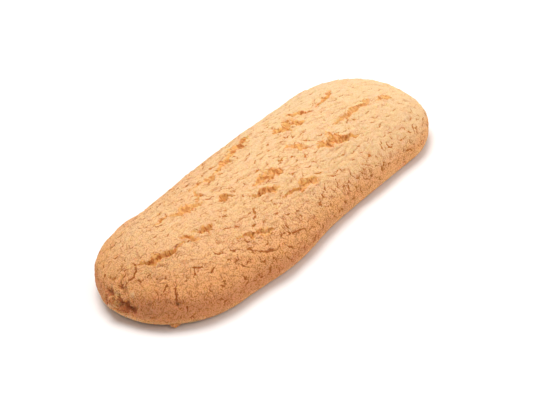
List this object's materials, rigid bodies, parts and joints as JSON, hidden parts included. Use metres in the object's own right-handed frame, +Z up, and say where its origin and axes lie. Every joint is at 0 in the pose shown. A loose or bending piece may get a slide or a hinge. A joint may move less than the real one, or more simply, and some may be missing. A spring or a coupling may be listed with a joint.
{
  "type": "milk biscuit",
  "caption": "Finger-shaped baked milk biscuit with round ends, a flat base and a domed golden crust torn open by short ragged fissures",
  "frame": {"origin": "middle of the flat base, on the surface the biscuit lies on", "axes": "+X along the biscuit from the browner near end to the far end, +Y across it, +Z up out of the crust"},
  "size_m": [0.1082, 0.0418, 0.0149],
  "materials": {
    "crust": "dry matte baked crust, pale gold on top, browner on the flanks and ends"
  },
  "bodies": {
    "root": {"biscuit": "crust"}
  },
  "joints": []
}
